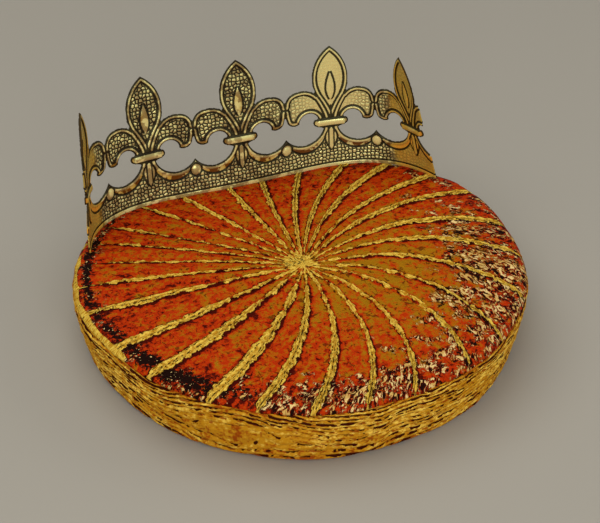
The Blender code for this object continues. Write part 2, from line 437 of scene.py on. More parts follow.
@dataclass(frozen=True)
class CrustFinish:
    """Egg-washed puff pastry: red-brown panels, pale ragged score lines, speckled and charred places by the rim, and
    painted shade beside the scores, in their cracks and between the flakes.
    """

    ochre: tuple[float, ...] = tint(162, 110, 8)
    amber: tuple[float, ...] = tint(178, 88, 4)
    russet: tuple[float, ...] = tint(184, 48, 2)
    # The darkest browning, and the painted shade beside the scores
    dark_russet: tuple[float, ...] = tint(70, 6, 0)
    straw: tuple[float, ...] = tint(236, 200, 82)
    honey: tuple[float, ...] = tint(190, 138, 30)
    # Painted shade, for the cracks of the score lines and under their lips
    crack_shade: tuple[float, ...] = tint(44, 8, 0)
    # Pale flakes, and the painted glints in charred patches
    pale_flake_and_glint: tuple[float, ...] = tint(238, 206, 136)
    # Charred crust, and the painted shade in the hollows between flakes
    burnt_and_shade: tuple[float, ...] = tint(26, 6, 2)

    def panels(self, g: Graph, gap: bpy.types.NodeSocket, band: bpy.types.NodeSocket) -> bpy.types.NodeSocket:
        """The glazed panels: ochre, amber and russet as they brown in the oven, blotched, and darkened with painted
        shade beside a score.

        Args:
            g: The graph.
            gap: The distance from the nearest score.
            band: Half the width of the open score.

        Returns:
            The panels' colour.
        """
        streak = g.grain(4.2, 3.0, 0.55, (1.7, 1.0, 1.0), flat=True)
        lump = g.grain(9.0, 3.0, 0.6)
        fleck = g.grain(2.6, 2.5, 0.6, offset=0.3, distortion=0.8)
        # Painted shade: the panels darken within 1.8 mm of a score's open band
        beside = g.step(g.calc("SUBTRACT", gap, band), 1.8, 0.0, 0.30)
        # The browning tone, which also carries painted shade and highlight beside the scores
        baked = g.calc("ADD", beside, g.mark("bake_and_shade"))
        baked = g.calc("MULTIPLY_ADD", g.calc("SUBTRACT", streak, 0.5), 1.7, baked)
        baked = g.calc("MULTIPLY_ADD", g.calc("SUBTRACT", lump, 0.5), 1.3, baked)
        baked = g.calc("MULTIPLY_ADD", g.calc("SUBTRACT", fleck, 0.5), 1.8, baked)
        colour = g.blend(g.step(baked, 0.00, 0.36), self.ochre, self.amber)
        colour = g.blend(g.step(baked, 0.32, 0.66), colour, self.russet)
        colour = g.blend(g.step(baked, 0.74, 1.10), colour, self.dark_russet)
        # Dark russet flecks, a few more of them beside a score as part of its painted shade
        dark_flecks = g.grain(3.0, 2.5, 0.6, offset=0.9, distortion=1.0)
        return g.blend(g.step(g.calc("MULTIPLY_ADD", beside, 0.12, dark_flecks), 0.575, 0.63, 0.70), colour, self.dark_russet)

    def material(self) -> bpy.types.Material:
        """Builds the material.

        Returns:
            The crust's material.
        """
        g = Graph("egg_washed_crust")
        gap = g.mark("line_gap")
        band = g.mark("line_band")
        panel = self.panels(g, gap, band)

        # Loose pale flakes, with painted shade in the hollows between them
        lumps = g.grain(2.7, 2.5, 0.6, (1.5, 1.0, 1.0), flat=True, distortion=1.6)
        patch = g.calc("MULTIPLY_ADD", g.calc("SUBTRACT", g.grain(8.0, 3.0, 0.65, offset=4.0), 0.5), 3.0, g.mark("flaky"))
        shown = g.calc("MULTIPLY", g.step(patch, 0.40, 0.60), g.step(g.mark("flaky"), 0.02, 0.20))
        lifted = g.calc("MULTIPLY", g.step(lumps, 0.52, 0.56), shown)
        hollow_shade = g.calc("MULTIPLY", g.step(lumps, 0.50, 0.45), shown)
        colour = g.blend(hollow_shade, panel, self.burnt_and_shade)
        toasted = g.step(g.grain(6.0, 2.0, 0.5, offset=4.6), 0.42, 0.58, 0.6)
        colour = g.blend(lifted, colour, g.blend(toasted, self.pale_flake_and_glint, self.honey))

        # Charred patches, with a few painted glints: pale specks that stand in for highlights
        charred = g.grain(3.4, 3.0, 0.7, offset=5.0, distortion=1.2)
        charred = g.calc("MULTIPLY_ADD", g.calc("SUBTRACT", charred, 0.5), 2.6, g.mark("burn"))
        black = g.step(charred, 0.50, 0.66)
        glint = g.step(g.grain(1.3, 2.0, 0.5, offset=5.5), 0.66, 0.70)
        colour = g.blend(black, colour, g.blend(glint, self.burnt_and_shade, self.pale_flake_and_glint))

        # The score lines, with torn edges and honey-coloured mottling, and painted shade in rows of short cracks and
        # under their torn lips
        torn = g.calc("MULTIPLY", g.calc("SUBTRACT", g.grain(1.3, 2.0, 0.6, (2.4, 1.0, 1.0), 6.0, flat=True), 0.5), 1.8)
        branched = g.calc("MULTIPLY", g.calc("SUBTRACT", g.grain(4.5, 3.0, 0.62, offset=6.6), 0.5), 4.6)
        inside = g.calc("SUBTRACT", band, g.calc("ADD", gap, g.calc("ADD", torn, branched)))
        line = g.step(inside, -0.10, 0.30)
        pale = g.blend(g.step(g.grain(1.0, 3.0, 0.6, (3.0, 1.0, 1.0), 7.0, flat=True), 0.42, 0.60), self.straw, self.honey)
        colour = g.blend(line, colour, pale)
        dash = g.step(g.grain(2.4, 2.0, 0.5, offset=8.0), 0.50, 0.55)
        split = g.calc("MULTIPLY_ADD", g.calc("SUBTRACT", g.grain(1.1, 2.0, 0.5, offset=9.0), 0.5), 1.0, gap)
        cracked = g.calc("MULTIPLY", g.step(split, 0.38, 0.22), dash)
        second = g.calc("ABSOLUTE", g.calc("SUBTRACT", split, g.calc("MULTIPLY", band, 0.62)))
        row = g.calc("MULTIPLY", g.step(second, 0.30, 0.18), g.step(g.grain(2.0, 2.0, 0.5, offset=9.7), 0.52, 0.56))
        # Painted shade along each line's brink, under its torn lip
        brink = g.calc("ABSOLUTE", g.calc("ADD", inside, 0.30))
        undercut = g.calc("MULTIPLY", g.step(brink, 0.34, 0.14), g.step(g.grain(3.0, 2.0, 0.5, offset=10.0), 0.48, 0.56))
        strong = g.step(band, 1.1, 1.7)
        wide = g.calc("MULTIPLY", row, g.step(band, 1.5, 2.0))
        inner = g.calc("MULTIPLY", g.calc("MAXIMUM", cracked, wide), strong)
        dark = g.calc("MAXIMUM", inner, g.calc("MULTIPLY", undercut, g.step(band, 0.2, 0.7)))
        # The cracks and brinks are painted near black, as shade
        colour = g.blend(g.calc("MULTIPLY", dark, 0.92), colour, self.crack_shade)

        fine = g.grain(2.4, 3.0, 0.65, offset=11.0)
        rough = g.calc("MULTIPLY_ADD", line, 0.15, 0.60)
        height = g.calc("MULTIPLY", fine, g.calc("MULTIPLY_ADD", line, 0.4, 0.8))
        height = g.calc("MULTIPLY_ADD", lifted, 0.80, height)
        height = g.calc("MULTIPLY_ADD", dark, -0.8, height)
        g.dress(colour, rough, height, 1.2)
        g.shader.inputs["Specular IOR Level"].default_value = 0.04
        return g.material


@dataclass(frozen=True)
class LayersFinish:
    """The pastry's baked side: thin straw-yellow layers, browned in streaks, with painted shade in the broken gaps
    between them.
    """

    straw: tuple[float, ...] = tint(250, 208, 84)
    honey: tuple[float, ...] = tint(200, 140, 24)
    # Browned pastry and specks, and the painted shade in the finer gaps
    brown: tuple[float, ...] = tint(160, 72, 6)
    # Painted shade in the coarse gaps between the layers
    gap: tuple[float, ...] = tint(62, 14, 0)

    def gaps(self, g: Graph, place: bpy.types.NodeSocket, deep: object, size_mm: float, wide: float) -> bpy.types.NodeSocket:
        """Painted shade in the broken gaps at each whole number of a layer count.

        Args:
            g: The graph.
            place: The layer count.
            deep: How open the gaps are, about 0 to 1.
            size_mm: How long the broken pieces are.
            wide: Half a gap's width at most, as a share of a layer.

        Returns:
            1 in the gaps.
        """
        within = g.calc("ABSOLUTE", g.calc("SUBTRACT", g.calc("FRACT", place), 0.5))
        broken = g.grain(size_mm, 2.0, 0.5, (2.6, 1.0, 1.0), size_mm, flat=True)
        open_gap = g.calc("MULTIPLY_ADD", g.calc("SUBTRACT", broken, 0.5), 3.0, deep)
        reach = g.step(open_gap, 0.30, 0.85, wide)
        dark = g.step(g.calc("SUBTRACT", within, g.calc("SUBTRACT", 0.5, reach)), -0.03, 0.03)
        return g.calc("MULTIPLY", dark, g.step(open_gap, 0.30, 0.42))

    def material(self) -> bpy.types.Material:
        """Builds the material.

        Returns:
            The side's material.
        """
        g = Graph("flaky_layers")
        browned = g.mark("browned")
        deep = g.mark("deep")
        wavy = g.calc("SUBTRACT", g.grain(7.0, 2.0, 0.5, (2.2, 1.0, 1.0), flat=True), 0.5)
        ripple = g.calc("SUBTRACT", g.grain(2.0, 2.0, 0.5, (1.5, 1.0, 1.0), 0.5, flat=True), 0.5)
        place = g.calc("MULTIPLY_ADD", ripple, 0.55, g.calc("MULTIPLY_ADD", wavy, 1.1, g.mark("layer")))
        streak = g.grain(1.9, 3.0, 0.6, (4.0, 1.0, 1.0), 1.0, flat=True)
        mottle = g.grain(2.4, 3.0, 0.6, offset=1.7)
        tone = g.calc("MULTIPLY_ADD", g.calc("SUBTRACT", streak, 0.5), 2.2, browned)
        tone = g.calc("MULTIPLY_ADD", g.calc("SUBTRACT", mottle, 0.5), 2.0, tone)
        colour = g.blend(g.step(tone, -0.35, 0.35), self.straw, self.honey)
        colour = g.blend(g.step(tone, 0.45, 0.95), colour, self.brown)
        # Painted shade in the gaps between the layers: dark in the coarse ones, brown in the finer ones
        coarse = self.gaps(g, place, deep, 2.3, 0.20)
        doubled = g.calc("MULTIPLY_ADD", place, 2.0, 0.35)
        thin = self.gaps(g, doubled, g.calc("SUBTRACT", deep, 0.05), 1.6, 0.20)
        speck = g.calc("MULTIPLY", g.step(g.grain(1.5, 2.0, 0.5, (1.6, 1.0, 1.0), 3.0, flat=True), 0.62, 0.68), 0.7)
        colour = g.blend(g.calc("MAXIMUM", speck, g.calc("MULTIPLY", thin, 0.85)), colour, self.brown)
        colour = g.blend(coarse, colour, self.gap)
        dark = g.calc("MULTIPLY_ADD", thin, 0.5, coarse)
        height = g.calc("MULTIPLY_ADD", dark, -0.8, g.calc("MULTIPLY", streak, 0.6))
        height = g.calc("MULTIPLY_ADD", mottle, 0.5, height)
        g.dress(colour, g.calc("MULTIPLY_ADD", streak, 0.2, 0.55), height, 0.8)
        g.shader.inputs["Specular IOR Level"].default_value = 0.05
        return g.material


@dataclass(frozen=True)
class FoilFinish:
    """Embossed gold foil on card, with painted highlights pale on its ridges and painted shade dark brown in its
    creases and between its pebbles.
    """

    # Painted highlight, on the ridges and pebbles
    pale: tuple[float, ...] = tint(250, 246, 166)
    gold: tuple[float, ...] = tint(218, 188, 82)
    deep_gold: tuple[float, ...] = tint(244, 184, 66)
    # Painted shade in patches, strongest in the wings' sunken band
    umber: tuple[float, ...] = tint(108, 56, 10)
    # Painted shade, in the creases and between the pebbles
    brown: tuple[float, ...] = tint(7, 3, 1)

    def material(self) -> bpy.types.Material:
        """Builds the material.

        Returns:
            The foil's material.
        """
        g = Graph("embossed_foil")
        pebble = g.mark("pebble")
        fine = g.grain(0.8, 2.0, 0.6)
        # Painted highlight and reflection: the lustre mark, varied by slow noise, picks among deep gold, gold and pale
        sheen = g.calc("MULTIPLY_ADD", g.calc("SUBTRACT", g.grain(7.0, 2.0, 0.5, offset=0.4), 0.5), 1.2, g.mark("lustre"))
        colour = g.blend(g.step(sheen, -0.45, 0.10), self.deep_gold, self.gold)
        colour = g.blend(g.step(sheen, 0.15, 0.75), colour, self.pale)
        # Painted shade in the creases and in the gaps between the pebbles
        creased = g.calc("MULTIPLY_ADD", g.calc("SUBTRACT", fine, 0.5), 0.4, g.mark("crease"))
        dark = g.step(creased, 0.17, 0.38)
        domed = g.cell_edge(2.2)
        gaps = g.calc("MULTIPLY", g.step(domed, 0.23, 0.13), pebble)
        # Patches of painted umber shade, kept off the lowest and highest lustre, strongest in the sunk wings
        shade_patches = g.step(g.grain(5.0, 3.0, 0.6, offset=2.0), 0.44, 0.54, 0.95)
        shown = g.calc("MULTIPLY", g.step(g.mark("lustre"), 0.02, 0.34), g.step(g.mark("lustre"), 1.05, 0.80))
        umber_shade = g.calc("MULTIPLY", g.calc("MULTIPLY", shade_patches, shown), g.calc("MULTIPLY_ADD", g.mark("sunk"), 0.3, 0.70))
        colour = g.blend(umber_shade, colour, self.umber)
        dark = g.calc("MAXIMUM", dark, gaps)
        colour = g.blend(g.calc("MULTIPLY", dark, 0.95), colour, self.brown)
        height = g.calc("MULTIPLY_ADD", g.calc("MULTIPLY", g.step(domed, 0.0, 0.40), pebble), 0.9, g.calc("MULTIPLY", fine, 0.06))
        g.dress(colour, g.calc("MULTIPLY_ADD", dark, 0.25, 0.26), height, 0.45)
        g.shader.inputs["Metallic"].default_value = 0.35
        g.shader.inputs["Specular IOR Level"].default_value = 0.2
        return g.material


@dataclass(frozen=True)
class TableFinish:
    """A plain pale table top."""

    grey: tuple[float, ...] = tint(167, 163, 153)

    def material(self) -> bpy.types.Material:
        """Builds the material.

        Returns:
            The table's material.
        """
        made = bpy.data.materials.new("pale_table")
        made.use_nodes = True
        shader = made.node_tree.nodes["Principled BSDF"]
        shader.inputs["Base Color"].default_value = self.grey
        shader.inputs["Roughness"].default_value = 0.8
        shader.inputs["Specular IOR Level"].default_value = 0.2
        return made


# ---------------------------------------------------------------------------------------------------------------
# The pastry
# ---------------------------------------------------------------------------------------------------------------


@dataclass
class Seat:
    """The plane that the crown's base lies in, falling away towards the back."""

    middle: tuple[float, float, float] = (-0.0316, 0.0827, 0.0326)
    heading: float = 20.6
    tilt: float = 7.9

    def axes(self) -> tuple[np.ndarray, np.ndarray, np.ndarray]:
        """The plane's directions.

        Returns:
            Its level direction, its downhill direction and its upward normal.
        """
        heading = math.radians(self.heading)
        tilt = math.radians(self.tilt)
        level = np.array([math.cos(heading), math.sin(heading), 0.0])
        flat_back = np.array([-level[1], level[0], 0.0])
        downhill = flat_back * math.cos(tilt) - np.array([0.0, 0.0, math.sin(tilt)])
        return level, downhill, np.cross(level, downhill)

    def height(self, x: np.ndarray, y: np.ndarray) -> np.ndarray:
        """The plane's height over each point.

        Args:
            x: The points' x.
            y: The points' y.

        Returns:
            The heights.
        """
        normal = self.axes()[2]
        across = normal[0] * (x - self.middle[0]) + normal[1] * (y - self.middle[1])
        return self.middle[2] - across / normal[2]


@dataclass
class PastryForm:
    """The pastry's main shape: its outline, its domed top and the spiral in which it is scored."""

    seat: Seat
    radius: float = 0.120
    rim_height: float = 0.0375
    dome_rise: float = 0.0062
    base_share: float = 0.945
    side_share: float = 0.86
    round_in: float = 0.058
    scores: int = 26
    pole: tuple[float, float] = (0.002, -0.007)
    seat_gap: float = 0.0011
    seat_blend: float = 0.0015
    drawn_in: float = 0.003

    def outline(self, azimuth: np.ndarray) -> np.ndarray:
        """The plan radius: a circle with three slow cosine waves, less a bell where the edge is drawn in.

        Args:
            azimuth: Azimuths in radians.

        Returns:
            The radii.
        """
        wave = 0.0007 * np.cos(2.0 * azimuth + 0.6)
        wave += 0.0006 * np.cos(5.0 * azimuth + 2.1)
        wave += 0.0004 * np.cos(9.0 * azimuth + 0.4)
        return self.radius + wave - self.drawn_in * bell(turn_between(np.degrees(azimuth), 114.0), 30.0)

    def top(self, x: np.ndarray, y: np.ndarray) -> np.ndarray:
        """The crust's height: the lower of a parabolic dome and the crown's seat, softly joined.

        Args:
            x: The points' x.
            y: The points' y.

        Returns:
            The heights.
        """
        dome = self.rim_height + self.dome_rise * (1.0 - (x * x + y * y) / self.radius**2)
        seat = self.seat.height(x, y) - self.seat_gap
        apart = np.abs(dome - seat)
        return np.minimum(dome, seat) - self.seat_blend * np.log1p(np.exp(-apart / self.seat_blend))

    def hand_shift(self, scored: np.ndarray) -> np.ndarray:
        """How far the knife strayed at each score, as a share of the spacing: two sines of the score's number.

        Args:
            scored: The scores' numbers.

        Returns:
            The shifts.
        """
        number = scored % self.scores
        return 0.08 * np.sin(2.7 * number) + 0.06 * np.sin(5.3 * number + 1.0)

    def spiral(self, turn: np.ndarray, share: np.ndarray) -> np.ndarray:
        """The azimuth of a scored curve: its turn, plus the hand's drift, less a sweep that grows with share^1.4.

        Args:
            turn: The curves' turns in radians.
            share: Shares of the radius.

        Returns:
            The azimuths in radians.
        """
        drift = 15.8 * np.cos(turn - math.radians(15.8)) + 2.6 * np.sin(3.0 * (turn - math.radians(5.9)))
        sweep = 12.8 + 15.8 * np.cos(turn + math.radians(8.6))
        return turn + np.radians(drift - sweep * share**1.4)

    def plan(self, azimuth: np.ndarray, share: np.ndarray) -> tuple[np.ndarray, np.ndarray]:
        """Where a share of the outline's radius lies: the centre slides from the pole to the middle outwards.

        Args:
            azimuth: Azimuths in radians.
            share: Shares of the radius.

        Returns:
            The points' x and y.
        """
        reach = self.outline(azimuth) * share
        x = reach * np.cos(azimuth) + self.pole[0] * (1.0 - share)
        y = reach * np.sin(azimuth) + self.pole[1] * (1.0 - share)
        return x, y


@dataclass
class TopCrust:
    """The glazed top, from its pole out to the edge of the upper sheet of pastry, and a little way under it."""

    form: PastryForm
    columns: int = 25
    rings: int = 118
    edge_rings: int = 12
    groove_mm: float = 1.1
    lip_mm: float = 1.2
    pillow_mm: float = 0.9

    def line_half(self, share: np.ndarray) -> np.ndarray:
        """Half the width of the grid's fine strip along a score, in millimetres."""
        return 1.2 + 2.6 * share

    def curves(self, share: np.ndarray) -> tuple[np.ndarray, np.ndarray, np.ndarray]:
        """The grid's curves. Most of a score's columns crowd within line_half of it, the rest cross the panel.

        Args:
            share: The ring's share of the radius, as a column.

        Returns:
            Each point's turn in radians, its distance from the nearest score in millimetres, and its place on
            the flat map: along its panel, then across it, in metres.
        """
        form = self.form
        count = form.scores * self.columns
        number = np.arange(count)
        scored, local = np.divmod(number, self.columns)
        place = local / self.columns
        near = 2.0 * np.minimum(place, 1.0 - place)
        spacing = math.tau / form.scores * form.radius / MM * np.maximum(share, 0.02)
        fine = np.clip(self.line_half(share) / (spacing / 2.0), 0.1, 0.62)
        crowd = 0.62
        inner = fine * near / crowd
        outer = fine + (1.0 - fine) * (near - crowd) / (1.0 - crowd)
        half = np.where(near < crowd, inner, outer)
        place = np.where(local * 2 <= self.columns, half / 2.0, 1.0 - half / 2.0)
        shift = form.hand_shift(scored) * (1.0 - place) + form.hand_shift(scored + 1) * place
        turn = math.tau * (scored + place + shift) / form.scores
        along = form.radius * share + 0.37 * scored
        flat = np.stack([along, (place - 0.5) * spacing * MM], axis=-1)
        return turn, half * spacing / 2.0, flat

    def profile(self) -> tuple[np.ndarray, np.ndarray]:
        """The meridian's profile: the flat top, a quarter turn over the shoulder, and a tuck under the edge.

        Returns:
            Shares of the radius and of the height, as columns.
        """
        form = self.form
        flat = np.linspace(0.022, 1.0 - form.round_in, self.rings) ** 1.0
        angle = np.linspace(0.0, 1.12, self.edge_rings)[1:]
        over_share = 1.0 - form.round_in * (1.0 - np.sin(angle))
        over_height = form.side_share + (1.0 - form.side_share) * np.cos(angle)
        tuck_share = over_share[-1] - np.array([0.002, 0.010, 0.030])
        tuck_height = over_height[-1] - np.array([0.022, 0.034, 0.040])
        share = np.concatenate([flat, over_share, tuck_share])
        height = np.concatenate([np.ones(self.rings), over_height, tuck_height])
        return share[:, None], height[:, None]

    def marks(
        self, x: np.ndarray, y: np.ndarray, share: np.ndarray, gap: np.ndarray, across: np.ndarray
    ) -> dict[str, np.ndarray]:
        """What the finish is told at each point.

        Args:
            x: The points' x.
            y: The points' y.
            share: Their shares of the radius.
            gap: Their distances from the nearest score, in millimetres.
            across: Their places across the panel, less than 0 on the side it starts from.

        Returns:
            line_gap and line_band in millimetres; the browning, with painted shade and highlight beside the scores; and
            burn and flaky, between 0 and 1.
        """
        place = np.stack([x, y, np.zeros_like(x)], axis=-1)
        azimuth = np.degrees(np.arctan2(y, x))
        slow = unevenness(place, 0.030, 3)
        quick = unevenness(place, 0.006, 5, 2)
        front_left = bell(turn_between(azimuth, -115.0), 48.0)
        right = bell(turn_between(azimuth, -20.0), 55.0)
        back = bell(turn_between(azimuth, 66.0), 50.0)
        left = bell(turn_between(azimuth, 172.0), 38.0)
        band = 0.72 + 0.55 * share + 1.7 * front_left * ease(share, 0.25, 0.75) - 0.4 * right * ease(share, 0.4, 0.9)
        band = band + 0.8 * back * ease(share, 0.25, 0.55) + 0.45 * slow + 0.5 * quick
        band = band - 0.35 * left - 1.3 * left * ease(share, 0.80, 0.92)
        band = band + 0.7 * bell(turn_between(azimuth, 42.0), 34.0) * ease(share, 0.25, 0.50)
        torn_pole = ease(np.hypot(x + 0.002, y + 0.005) + 0.004 * quick, 0.0085, 0.0045)
        band = band * (0.45 + 0.55 * ease(share, 0.04, 0.26)) + 1.3 * torn_pole - 1.2 * ease(share, 0.965, 0.985)
        bare_edge = ease(bell(turn_between(azimuth, 196.0), 30.0), 0.25, 0.75)
        band = band + 18.0 * bare_edge * ease(share + 0.004 * quick, 0.968, 0.980)
        warm_middle = bell(np.hypot(x - 0.044, y + 0.014), 0.062) + 0.7 * bell(np.hypot(x, y + 0.005), 0.032)
        bake_and_shade = 0.61 - 0.08 * left - 0.46 * warm_middle + 0.22 * ease(share, 0.75, 0.95)
        # Painted shade and highlight: beside each score a panel is darker on its side away from the light, where away
        # is above 0, and a little lighter on its lit side
        away = np.cos(np.radians(azimuth - 45.0)) * np.sign(across)
        line_shadow = bell(np.maximum(gap - band, 0.0), 1.5) * ease(share, 0.05, 0.2)
        bake_and_shade = bake_and_shade + line_shadow * (0.75 * ease(away, -0.1, 0.7) - 0.15 * ease(away, 0.1, -0.7))
        left_rim = 1.1 * bell(turn_between(azimuth, 182.0), 34.0) * bell(share - 0.935, 0.030)
        front_rim = bell(turn_between(azimuth, 238.0), 26.0) * ease(share, 0.83, 0.93)
        right_rim = 0.55 * bell(turn_between(azimuth, 5.0), 40.0) * ease(share, 0.90, 0.97)
        burn = 0.84 * np.clip(left_rim + front_rim + right_rim, 0.0, 1.1) * (1.0 - 0.5 * ease(share, 0.955, 0.985))
        front = bell(turn_between(azimuth, -68.0), 42.0) * ease(share, 0.70, 0.92)
        side = bell(turn_between(azimuth, -8.0), 44.0) * ease(share, 0.50, 0.74)
        some = 0.4 * ease(share, 0.84, 0.95)
        flaky = 0.80 * np.clip(np.maximum(np.maximum(front, side), some), 0.0, 1.0)
        return {"line_gap": gap, "line_band": np.maximum(band, -0.5), "bake_and_shade": bake_and_shade, "burn": burn, "flaky": flaky}

    def relief(self, place: np.ndarray, share: np.ndarray, gap: np.ndarray, marks: dict[str, np.ndarray]) -> np.ndarray:
        """Height added to the dome: pillowed panels, a cracked groove between torn lips, and baked unevenness.

        Args:
            place: The points.
            share: Their shares of the radius.
            gap: Their distances from the nearest score, in millimetres.
            marks: What the finish is told at them.

        Returns:
            Heights in metres.
        """
        band = np.maximum(marks["line_band"], 0.2)
        scored = ease(share, 0.06, 0.20) * ease(1.0 - share, 0.015, 0.06)
        spacing = np.pi * self.form.radius / MM * share / self.form.scores
        pillow = self.pillow_mm * (1.0 - np.square(1.0 - np.clip(gap / spacing, 0.0, 1.0))) * ease(share, 0.1, 0.5)
        torn = unevenness(place, 0.0016, 11, 2)
        along = unevenness(place, 0.007, 13, 2)
        lip = self.lip_mm * (0.75 + 0.8 * torn + 0.4 * along) * bell(gap - 0.55 * band, 0.42 * band + 0.15)
        groove = -self.groove_mm * bell(gap, 0.42) * (0.7 + 0.6 * along)
        lumps = 0.45 * unevenness(place, 0.014, 17, 2) + 0.14 * unevenness(place, 0.0035, 19, 2)
        flakes = 0.55 * marks["flaky"] * unevenness(place, 0.0022, 23, 2)
        blister = 0.5 * marks["burn"] * unevenness(place, 0.0040, 29, 2)
        height = pillow + (lip + groove) * scored + lumps + flakes + blister
        return (height - 0.35) * MM * ease(share, 0.0, 0.06)

    def build(self) -> bpy.types.Object:
        """Builds the crust: rings of points along the spiral's curves, closed with a fan at the pole.

        Returns:
            The crust's object.
        """
        form = self.form
        share, rise = self.profile()
        turn, gap, flat_map = self.curves(share)
        azimuth = form.spiral(turn, share)
        x, y = form.plan(azimuth, share)
        wide = share * np.ones_like(x)
        marks = self.marks(x, y, wide, gap, flat_map[..., 1])
        z = rise * form.top(x, y)
        place = np.stack([x, y, z], axis=-1)
        lift = self.relief(place, wide, gap, marks)
        steep = np.clip((1.0 - rise) / (1.0 - form.side_share), 0.0, 1.0)
        outward = -0.6 * MM * steep * (1.0 + unevenness(place, 0.006, 31, 2))
        x = x + outward * np.cos(azimuth)
        y = y + outward * np.sin(azimuth)
        z = z + lift * (1.0 - 0.6 * steep)
        points = np.stack([x, y, z], axis=-1)
        rows, columns = x.shape
        quads = grid_quads(rows, columns, closed=True)
        pole = points[0].mean(axis=0) + np.array([0.0, 0.0, 0.0002])
        every_point = np.concatenate([points.reshape(-1, 3), pole[None]])
        flat_map = np.concatenate([flat_map.reshape(-1, 2), np.zeros((1, 2))])
        centre = rows * columns
        first = np.arange(columns)
        fans = np.stack([np.full(columns, centre), first, (first + 1) % columns], axis=-1)
        marks = {label: np.append(value.ravel(), value[0].mean()) for label, value in marks.items()}
        quads = quads[:, [0, 3, 2, 1]]
        return Piece("top_crust", every_point, quads, fans, marks, flat_map).build()


@dataclass
class LayeredSide:
    """The pastry's side, a stack of thin wavy layers, and its flat foot."""

    form: PastryForm
    columns: int = 880
    rows: int = 76
    layers: float = 13.0
    relief_mm: float = 1.1

    def lens(self, degrees: np.ndarray, rise: np.ndarray) -> np.ndarray:
        """A lens of plain dough at the front left, where the upper sheet was pressed down over the lower one."""
        return bell(turn_between(degrees, 256.0), 15.0) * bell(rise - 0.45, 0.30)

    def phase(self, azimuth: np.ndarray, rise: np.ndarray, place: np.ndarray) -> np.ndarray:
        """Which layer each point is in: a count up the side, slanted by slow waves and parted round the lens.

        Args:
            azimuth: Azimuths in radians.
            rise: Shares of the side's height.
            place: The points.

        Returns:
            Layer numbers with their parts.
        """
        parting = 0.22 * bell(turn_between(np.degrees(azimuth), 256.0), 17.0) * np.tanh((rise - 0.45) / 0.25)
        slanted = 1.3 * np.sin(2.0 * azimuth + 4.36) + 0.5 * np.sin(5.0 * azimuth + 1.0)
        wave = unevenness(place * np.array([1.0, 1.0, 0.35]), 0.018, 41, 2)
        crowded = rise + 0.25 * (rise * rise - rise) - parting
        return self.layers * crowded + slanted * (1.0 - 0.6 * rise) + 1.3 * wave

    def build(self) -> bpy.types.Object:
        """Builds the side: rings from just inside the crust's edge down to the foot, closed with a fan.

        Returns:
            The side's object.
        """
        form = self.form
        azimuth = (math.pi / 2.0 + np.arange(self.columns) / self.columns * math.tau)[None, :]
        down = np.linspace(0.0, 1.0, self.rows)[:, None]
        start = 0.945
        rise = start * (1.0 - down)
        in_shoulder = np.clip((rise - form.side_share) / (1.0 - form.side_share), 0.0, 1.0)
        shoulder = 1.0 - form.round_in * (1.0 - np.sqrt(1.0 - np.square(in_shoulder)))
        below = 1.0 - (1.0 - form.base_share) * np.power(np.clip(1.0 - rise / form.side_share, 0.0, 1.0), 1.4)
        share = np.where(rise > form.side_share, shoulder, below) - 0.018 * (1.0 - ease(rise, 0.0, 0.035))
        x, y = form.plan(azimuth, share)
        z = rise * form.top(x, y) * np.ones_like(x)
        place = np.stack([x, y, z], axis=-1)
        degrees = np.degrees(azimuth) * np.ones_like(rise)
        layer = self.phase(azimuth, rise / start, place)
        part = layer - np.floor(layer)
        lens = self.lens(degrees, rise)
        gap = bell(np.minimum(part, 1.0 - part), 0.14)
        steps = np.stack([np.floor(layer)] * 3, axis=-1).astype(np.int64)
        ledge = 0.45 * np.sin(np.pi * part) + 0.55 * lattice_value(steps, 7)
        rough = unevenness(place * np.array([1.0, 1.0, 2.5]), 0.006, 43, 3)
        right = bell(turn_between(degrees, -20.0), 40.0)
        layered = (1.0 - 0.5 * right) * (1.0 - 0.8 * lens)
        out = self.relief_mm * (layered * (ledge - 1.0 - 0.8 * gap) + 0.5 * rough - 0.25) * MM
        out = np.minimum(out, 0.0) * ease(rise, 0.0, 0.05)
        x = x + out * np.cos(azimuth)
        y = y + out * np.sin(azimuth)
        front = bell(turn_between(degrees, 262.0), 45.0)
        browned = 0.05 + 0.15 * front + 0.42 * lens + 0.5 * ease(rise, 0.86, 0.93) + 0.10 * right
        browned = browned + 0.45 * (1.0 - ease(rise, 0.02, 0.10)) + 0.25 * unevenness(place, 0.012, 47)
        # How open the layers' gaps are, and so how much painted shade the side's finish puts in them
        deep = 0.50 + 0.25 * ease(rise, 0.60, 0.80) + 0.16 * (1.0 - ease(rise, 0.05, 0.20)) - 0.5 * lens - 0.10 * right
        points = np.stack([x, y, z], axis=-1)
        quads = grid_quads(self.rows, self.columns, closed=True)[:, [0, 3, 2, 1]]
        last = (self.rows - 1) * self.columns + np.arange(self.columns)
        fans = np.stack([np.full(self.columns, self.rows * self.columns), np.roll(last, -1), last], axis=-1)
        marks = {"layer": layer, "browned": browned, "deep": deep}
        marks = {label: np.append((value * np.ones_like(x)).ravel(), 0.0) for label, value in marks.items()}
        flat = np.stack([azimuth * form.radius * np.ones_like(x), layer * 0.0026], axis=-1).reshape(-1, 2)
        every_point = np.concatenate([points.reshape(-1, 3), np.zeros((1, 3))])
        flat = np.concatenate([flat, np.zeros((1, 2))])
        return Piece("layered_side", every_point, quads, fans, marks, flat, math.tau * form.radius).build()


# ---------------------------------------------------------------------------------------------------------------
# The crown
# ---------------------------------------------------------------------------------------------------------------


